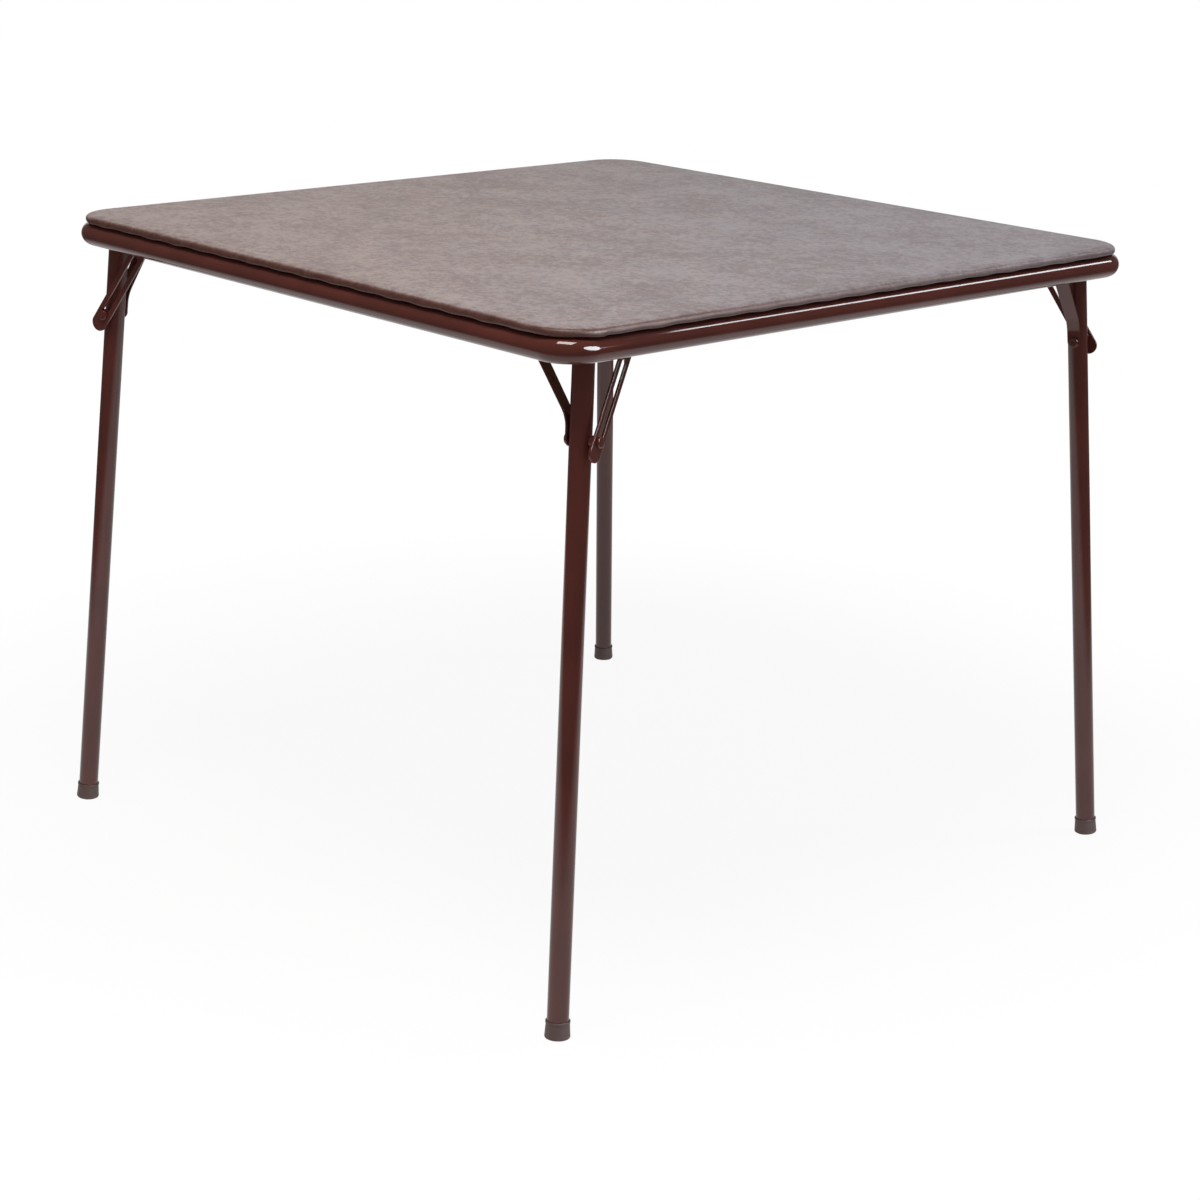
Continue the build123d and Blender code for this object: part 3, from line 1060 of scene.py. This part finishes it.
def turned_points(name: str, row: Sequence[Vector]) -> bpy.types.Mesh:
    """Points of one side and the same points on the other three, each with its turn about Z.

    Args:
        name: The mesh's name.
        row: The points of the -Y side.

    Returns:
        A mesh of points with an attribute named turn.
    """
    points, turns = [], []
    for place in Place:
        matrix = Matrix.Rotation(place.turn, 3, "Z")
        points += [tuple(matrix @ point) for point in row]
        turns += [place.turn] * len(row)
    mesh = bpy.data.meshes.new(name)
    mesh.from_pydata(points, [], [])
    mesh.attributes.new("turn", "FLOAT", "POINT").data.foreach_set("value", turns)
    return mesh


def swell(
    piece: bpy.types.Object, hold: np.ndarray, cap: float, frames: int = 20, pressure: float = 4.0
) -> None:
    """Swells a cover as cloth under pressure, then keeps each point within a cap.

    Args:
        piece: The cover.
        hold: How firmly each point is held, from 0 to 1.
        cap: The furthest that a point may move.
        frames: How many frames the cloth runs.
        pressure: The pressure behind it.
    """
    before = np.empty(len(piece.data.vertices) * 3)
    piece.data.vertices.foreach_get("co", before)
    group = piece.vertex_groups.new(name="held")
    for firmness in np.unique(hold):
        if firmness > 0:
            group.add(np.flatnonzero(hold == firmness).tolist(), float(firmness), "REPLACE")
    cloth = piece.modifiers.new("cloth", "CLOTH")
    cloth.settings.quality = 5
    cloth.settings.mass = 0.3
    cloth.settings.use_pressure = True
    cloth.settings.uniform_pressure_force = pressure
    cloth.settings.vertex_group_mass = group.name
    cloth.settings.effector_weights.gravity = 0.0
    cloth.collision_settings.use_collision = False
    cloth.point_cache.frame_end = frames
    scene = bpy.context.scene
    for number in range(1, frames + 1):
        scene.frame_set(number)
    swollen = piece.evaluated_get(bpy.context.evaluated_depsgraph_get())
    after = np.empty_like(before)
    swollen.data.vertices.foreach_get("co", after)
    move = (after - before).reshape(-1, 3)
    length = np.linalg.norm(move, axis=1)
    log.info("cover swelled by up to %.2f mm before its cap", length.max() * 1000)
    move *= np.minimum(1.0, cap / np.maximum(length, 1e-9))[:, None]
    piece.modifiers.remove(cloth)
    piece.vertex_groups.clear()
    piece.data.vertices.foreach_set("co", (before.reshape(-1, 3) + move).ravel())
    piece.data.update()
    scene.frame_set(1)


def dress_node(node: str, slot: Slot) -> None:
    """Gives a node that stays its finish."""
    for material_slot in frame["nodes"][node].material_slots:
        material_slot.material = FINISHES[slot]


def softened(node: str, name: str, edge: float) -> bpy.types.Object:
    """A copy of a node's form whose sharp edges are rounded a little.

    Args:
        node: The node.
        name: The copy's name.
        edge: The width of the rounding.

    Returns:
        The copy.
    """
    mesh = frame["nodes"][node].data.copy()
    mesh.name = name
    flat, sharp = math.radians(0.5), math.radians(45)
    with edited(mesh) as form:
        bmesh.ops.remove_doubles(form, verts=form.verts, dist=2e-6)
        bmesh.ops.dissolve_limit(form, angle_limit=flat, verts=form.verts, edges=form.edges)
        rims = [e for e in form.edges if len(e.link_faces) == 2 and e.calc_face_angle(0.0) > sharp]
        rounding = {"offset": edge, "segments": 2, "profile": 0.5, "clamp_overlap": True}
        bmesh.ops.bevel(form, geom=rims, affect="EDGES", **rounding)
    return new_piece(name, mesh)


@dataclass
class TubeFrame:
    """The bent tube under the top, with its butt joint and its screws."""

    half: float = 0.4128
    height: float = 0.6833
    radius: float = 0.0127
    wall: float = 0.0012
    corner: float = 0.0295
    sides: int = 56
    corner_steps: int = 28
    seam: float = -0.024
    seam_gap: float = 0.0004
    screw_offsets: Tuple[float, float] = (-0.215, 0.215)
    access_radius: float = 0.0044
    access_depth: float = 0.0127 * 1.2
    access_sides: int = 40

    def build(self) -> None:
        """Makes the tube and the screws, and dresses the sleeve."""
        self.tube()
        Screws().build()
        dress_node("frame_joint_sleeve", Slot.PLATED)

    def tube(self) -> None:
        """Sweeps the tube round its path with a tree."""
        kinds = {"Tube radius": "NodeSocketFloat", "Corner radius": "NodeSocketFloat"}
        kinds |= {"Sides": "NodeSocketInt", "Corner steps": "NodeSocketInt", "Finish": "NodeSocketMaterial"}
        tree = GrowTree("bent_tube", kinds)
        path = tree.add("GeometryNodeMeshToCurve", {}, {"Mesh": tree.take("Geometry")})
        bend = {"Curve": path, "Count": tree.take("Corner steps"), "Radius": tree.take("Corner radius")}
        path = tree.add("GeometryNodeFilletCurve", {"mode": "POLY"}, bend)
        round_section = {"Resolution": tree.take("Sides"), "Radius": tree.take("Tube radius")}
        section = tree.add("GeometryNodeCurvePrimitiveCircle", {"mode": "RADIUS"}, round_section)
        tree.close(tree.add("GeometryNodeCurveToMesh", {}, {"Curve": path, "Profile Curve": section}))
        h, z = self.half, self.height
        start, end = self.seam + self.seam_gap / 2, self.seam - self.seam_gap / 2
        points = [(start, -h, z), (h, -h, z), (h, h, z), (-h, h, z), (-h, -h, z), (end, -h, z)]
        seed = bpy.data.meshes.new("tube_path")
        seed.from_pydata(points, [(i, i + 1) for i in range(len(points) - 1)], [])
        values = {
            "Tube radius": self.radius,
            "Corner radius": self.corner,
            "Sides": self.sides,
            "Corner steps": self.corner_steps,
            "Finish": FINISHES[Slot.ENAMEL],
        }
        piece = tree.grow("frame_rail", seed, values)
        face_outwards(piece)
        thicken(piece, self.wall)
        self.access_holes(piece)
        dress(piece, Slot.ENAMEL, "table", "frame_tube")

    def access_holes(self, piece: bpy.types.Object) -> None:
        """Cuts the wide holes below, through which the screws go in.

        Args:
            piece: The tube, whose long faces are first cut across beside each hole.
        """
        near = self.access_radius * 1.7
        spots = [offset + step for offset in self.screw_offsets for step in (-near, near)]
        with edited(piece.data) as form:
            for axis in (Vector((1, 0, 0)), Vector((0, 1, 0))):
                for spot in spots:
                    whole = [*form.verts, *form.edges, *form.faces]
                    bmesh.ops.bisect_plane(form, geom=whole, plane_co=axis * spot, plane_no=axis)
        drills = bmesh.new()
        sizes = {"radius1": self.access_radius, "radius2": self.access_radius, "depth": self.access_depth}
        for place in Place:
            for offset in self.screw_offsets:
                spot = Matrix.Translation((offset, -self.half, self.height - self.radius))
                matrix = Matrix.Rotation(place.turn, 4, "Z") @ spot
                bmesh.ops.create_cone(
                    drills, cap_ends=True, segments=self.access_sides, matrix=matrix, **sizes
                )
        cut_away(piece, drills)


def cut_away(piece: bpy.types.Object, tool_form: bmesh.types.BMesh) -> None:
    """Cuts a form out of a piece.

    Args:
        piece: The piece.
        tool_form: The form, which is used up.
    """
    tool_mesh = bpy.data.meshes.new("cutter")
    tool_form.to_mesh(tool_mesh)
    tool_form.free()
    tool = new_piece("cutter", tool_mesh)
    cut = piece.modifiers.new("cut", "BOOLEAN")
    cut.object = tool
    cut.solver = "EXACT"
    cut.use_self = True
    settle(piece)
    bpy.data.objects.remove(tool)


def face_outwards(piece: bpy.types.Object) -> None:
    """Turns all faces of a single skin outwards.

    Args:
        piece: The skin.
    """
    with edited(piece.data) as form:
        bmesh.ops.remove_doubles(form, verts=form.verts, dist=1e-6)
        bmesh.ops.recalc_face_normals(form, faces=form.faces)


@dataclass
class Screws:
    """Pan-head screws with a cross recess, set where the nodes of the frame have theirs."""

    head_radius: float = 0.0039
    head_height: float = 0.0022
    shank_radius: float = 0.0019
    shank_reach: float = 0.0025
    recess: float = 0.0011
    recess_width: float = 0.0008
    recess_length: float = 0.0042
    steps: int = 32
    crown: Tuple[Tuple[float, float], ...] = ((0.55, 0.06), (0.85, 0.3), (1, 0.7), (1, 0.95), (0.97, 1))

    def build(self) -> None:
        """Sets both groups of screws."""
        template = self.template()
        kinds = {"Screw": "NodeSocketObject", "Turn": "NodeSocketFloat", "Finish": "NodeSocketMaterial"}
        tree = GrowTree("screw_set", kinds)
        screw = tree.add("GeometryNodeObjectInfo", {}, {"Object": tree.take("Screw")}, "Geometry")
        turn = tree.add("ShaderNodeCombineXYZ", {}, {"Z": tree.dice(3) * tree.take("Turn")})
        tree.plant(screw, turn)
        for node, name in (("frame_screws", "rail_screws"), ("bracket_screws", "hinge_screws")):
            seed = bpy.data.meshes.new(f"{name}_points")
            seed.from_pydata([tuple(point) for point in self.heads(node)], [], [])
            values = {"Screw": template, "Turn": math.pi, "Finish": FINISHES[Slot.PLATED]}
            piece = tree.grow(name, seed, values)
            dress(piece, Slot.PLATED, "table", node)
        bpy.data.objects.remove(template)

    def heads(self, node: str) -> List[Vector]:
        """The lowest point of each screw of a node.

        Args:
            node: The node.

        Returns:
            The points under the middles of the heads.
        """
        places: List[Vector] = []
        left = np.array([tuple(vertex.co) for vertex in frame["nodes"][node].data.vertices])
        while len(left):
            near = np.linalg.norm(left[:, :2] - left[0, :2], axis=1) < 3 * self.head_radius
            cluster = left[near]
            middle = (cluster.min(0) + cluster.max(0)) / 2
            places.append(Vector((middle[0], middle[1], cluster[:, 2].min())))
            left = left[~near]
        return places

    def template(self) -> bpy.types.Object:
        """One screw, its head's crown at the origin and its shank up.

        Returns:
            The screw.
        """
        radius, height = self.head_radius, self.head_height
        tip = height + self.shank_reach
        profile = [(radius * wide, high * height) for wide, high in self.crown]
        profile += [(self.shank_radius, height), (self.shank_radius, tip)]
        rings = [lifted(circle(self.steps) * wide, high) for wide, high in profile]
        poles = Vector((0, 0, 0)), Vector((0, 0, tip))
        head = new_piece("screw_template", ring_mesh("screw_template", rings, *poles))
        cross = bmesh.new()
        size = (self.recess_length, self.recess_width, 2 * self.recess, 1.0)
        for angle in (0, QUARTER):
            matrix = Matrix.Rotation(angle, 4, "Z") @ Matrix.Diagonal(size)
            bmesh.ops.create_cube(cross, size=1.0, matrix=matrix)
        cut_away(head, cross)
        return head


@dataclass
class FoldingLeg:
    """One corner: leg, foot, hinge, strap, slotted link, and the pins that join them."""

    place: Place
    plate_edge: float = 0.0004
    pin_edge: float = 0.00025

    def build(self) -> None:
        """Makes the corner's pieces from their nodes' forms."""
        word = self.place.word
        leg, link, pin = f"{word}_leg_body", f"{word}_link_body", f"{word}_pin_body"
        plan = (
            ("leg", "leg_tube", leg, self.pin_edge, Slot.ENAMEL),
            ("foot", "foot_cap", leg, self.pin_edge, Slot.FOOT_CAP),
            ("hinge_plug", "hinge_eye", leg, self.plate_edge, Slot.ENAMEL),
            ("leg_strap", "bent_strap", leg, self.plate_edge, Slot.ENAMEL),
            ("leg_rivet", "through_rivet", leg, self.pin_edge, Slot.ENAMEL),
            ("slotted_link", "link_plate", link, self.plate_edge, Slot.ENAMEL),
            ("slide_pin", "headed_pin", pin, self.pin_edge, Slot.ENAMEL),
            ("slide_collar", "pin_collar", pin, self.pin_edge, Slot.ENAMEL),
            ("link_stud", "rail_stud", "table", self.pin_edge, Slot.ENAMEL),
            ("hinge_rod", "hinge_axle", "table", self.pin_edge, Slot.PLATED),
            ("hinge_bracket", "hinge_leaf", "table", self.plate_edge, Slot.ENAMEL),
        )
        for node, name, body, edge, slot in plan:
            piece = softened(f"{word}_{node}", f"{word}_{name}", edge)
            dress(piece, slot, body, f"{word}_{node}")


class Front(Enum):
    """The outline of a lamp's front."""

    BOX = "RECTANGLE"
    DISH = "ELLIPSE"


@dataclass
class SoftLamp:
    """An area lamp with an even front."""

    name: str
    place: Vector
    aim: Vector
    width: float
    height: float
    radiance: float
    tint: Tuple[float, float, float]
    gloss_only: bool = False
    front: Front = Front.BOX
    along: Optional[Vector] = None

    def build(self) -> None:
        """Hangs the lamp and points it."""
        data = bpy.data.lights.new(self.name, "AREA")
        data.shape = self.front.value
        data.size, data.size_y = self.width, self.height
        data.energy = self.radiance * math.pi * self.width * self.height
        data.color = self.tint
        lamp = bpy.data.objects.new(self.name, data)
        back = (self.place - self.aim).normalized()
        across = self.along or Vector((0, 0, 1)).cross(back)
        side = (across - back * across.dot(back)).normalized()
        turn = Matrix((side, back.cross(side), back)).transposed().to_4x4()
        lamp.matrix_world = Matrix.Translation(self.place) @ turn
        lamp.visible_camera = False
        lamp.visible_diffuse = not self.gloss_only
        bpy.context.scene.collection.objects.link(lamp)


@dataclass
class Studio:
    """Pale floor, white backdrop, three soft lamps and the camera."""

    yaw_deg: float = 46.83
    pitch_deg: float = 16.81
    roll_deg: float = 1.5
    stand: Tuple[float, float, float] = (2.2157, -2.0325, 1.1915)
    lens: float = 80.61
    sensor: float = 36.0
    shift: Tuple[float, float] = (-0.01523, -0.00973)
    sight: Tuple[float, float] = (0.05, 60.0)
    warm: Tuple[float, float, float] = (1.0, 0.95, 0.9)
    cool: Tuple[float, float, float] = (0.93, 0.96, 1.0)
    backdrop_yaw_deg: float = 137.0
    backdrop_edge: Tuple[float, float] = (0.8, 0.96)
    room: float = 0.10
    fill: float = 0.28
    floor_radius: float = 2.4
    floor_steps: int = 96
    floor_middle: Tuple[float, float, float] = (-0.2, 0.15, 0.0)
    floor_light: Colour = (0.8, 0.8, 0.8, 1.0)
    floor_dark: Colour = (0.78, 0.78, 0.78, 1.0)
    floor_glow: float = 1.02
    shadow_fade: Tuple[float, float] = (0.5, 1.35)
    mirror_fade: Tuple[float, float] = (1.15, 2.1)

    def build(self) -> None:
        """Sets up the camera, the lamps, the world and the floor."""
        bpy.context.scene.view_settings.view_transform = "Standard"
        self.camera()
        self.lamps()
        self.world()
        self.floor()

    def camera(self) -> None:
        """The camera at the photograph's viewpoint."""
        a, e, r = (math.radians(d) for d in (self.yaw_deg, self.pitch_deg, self.roll_deg))
        back = Vector((math.sin(a) * math.cos(e), -math.cos(a) * math.cos(e), math.sin(e)))
        right = Vector((math.cos(a), math.sin(a), 0))
        up = back.cross(right)
        right, up = right * math.cos(r) + up * math.sin(r), up * math.cos(r) - right * math.sin(r)
        data = bpy.data.cameras.new("camera")
        data.lens = self.lens
        data.sensor_width = self.sensor
        data.shift_x, data.shift_y = self.shift
        data.clip_start, data.clip_end = self.sight
        camera = bpy.data.objects.new("camera", data)
        turn = Matrix((right, up, back)).transposed().to_4x4()
        camera.matrix_world = Matrix.Translation(self.stand) @ turn
        bpy.context.scene.collection.objects.link(camera)
        bpy.context.scene.camera = camera

    def lamps(self) -> None:
        """A box overhead in front, a dish at the right for gloss alone, and a box high at the back right."""
        table = Vector((0.15, -0.15, 0.7))
        SoftLamp(
            name="box_overhead",
            place=Vector((0.52, -0.86, 2.84)),
            aim=table,
            width=1.15,
            height=0.9,
            radiance=13.0,
            tint=self.warm,
        ).build()
        SoftLamp(
            name="dish_right",
            place=Vector((2.33, 0.366, 1.468)),
            aim=table,
            width=1.96,
            height=1.09,
            radiance=15.0,
            tint=self.cool,
            gloss_only=True,
            front=Front.DISH,
            along=Vector((-0.113, 0.703, -0.402)),
        ).build()
        SoftLamp(
            name="box_high_right",
            place=Vector((1.5, 2.35, 2.3)),
            aim=Vector((0.41, 0.3, 0.7)),
            width=1.2,
            height=0.42,
            radiance=13.0,
            tint=self.cool,
            along=Vector((0, 1, 0)),
        ).build()

    def world(self) -> None:
        """White behind the table, for what the camera and the gloss see, and an even fill light."""
        world = bpy.data.worlds.new("studio")
        bpy.context.scene.world = world
        world.use_nodes = True
        graph = Graph(world.node_tree)
        yaw = math.radians(self.backdrop_yaw_deg)
        ways = {0: graph.add("ShaderNodeTexCoord", output="Generated"), 1: (math.cos(yaw), math.sin(yaw), 0)}
        toward = graph.add("ShaderNodeVectorMath", {"operation": "DOT_PRODUCT"}, ways, 1)
        camera, mirrored = graph.rays()
        seen = self.room + toward.rise(*self.backdrop_edge) * (1 - self.room)
        level = camera + mirrored * seen + (1 - (camera + mirrored).clamp()) * self.fill
        back = graph.add("ShaderNodeBackground", {}, {"Color": WHITE, "Strength": level})
        graph.end("ShaderNodeOutputWorld", back)

    def floor(self) -> None:
        """A pale disc that keeps the table's shadow and fades into the white."""
        unit = circle(self.floor_steps) * self.floor_radius
        rings = [lifted(unit * share, 0.0) for share in (1.0, 0.6, 0.3)]
        floor = new_piece("floor", ring_mesh("floor", rings, last_pole=Vector((0, 0, 0))))
        graph = Shader("pale_floor")
        spread = {0: graph.place, 1: self.floor_middle}
        reach = graph.add("ShaderNodeVectorMath", {"operation": "DISTANCE"}, spread, 1)
        camera, mirrored = graph.rays()
        paint = graph.blend(graph.noise(0.02, 2.0), self.floor_light, self.floor_dark)
        matt = graph.add("ShaderNodeBsdfDiffuse", {}, {"Color": paint})
        level = camera * self.floor_glow + mirrored * (1.0 - reach.rise(*self.mirror_fade) * 0.92)
        glow = graph.add("ShaderNodeEmission", {}, {"Color": WHITE, "Strength": level})
        share = camera * (0.9 + reach.rise(*self.shadow_fade) * 0.1) + mirrored * 0.9
        mixed = graph.add("ShaderNodeMixShader", {}, {0: share, 1: matt, 2: glow})
        graph.end("ShaderNodeOutputMaterial", mixed)
        floor.data.materials.append(graph.material)


def main() -> None:
    """Builds the studio and the table."""
    logging.basicConfig(level=logging.INFO, format="%(name)s %(message)s")
    Studio().build()
    PaddedTop().build()
    TubeFrame().build()
    for place in Place:
        FoldingLeg(place).build()


if __name__ == "__main__":
    main()
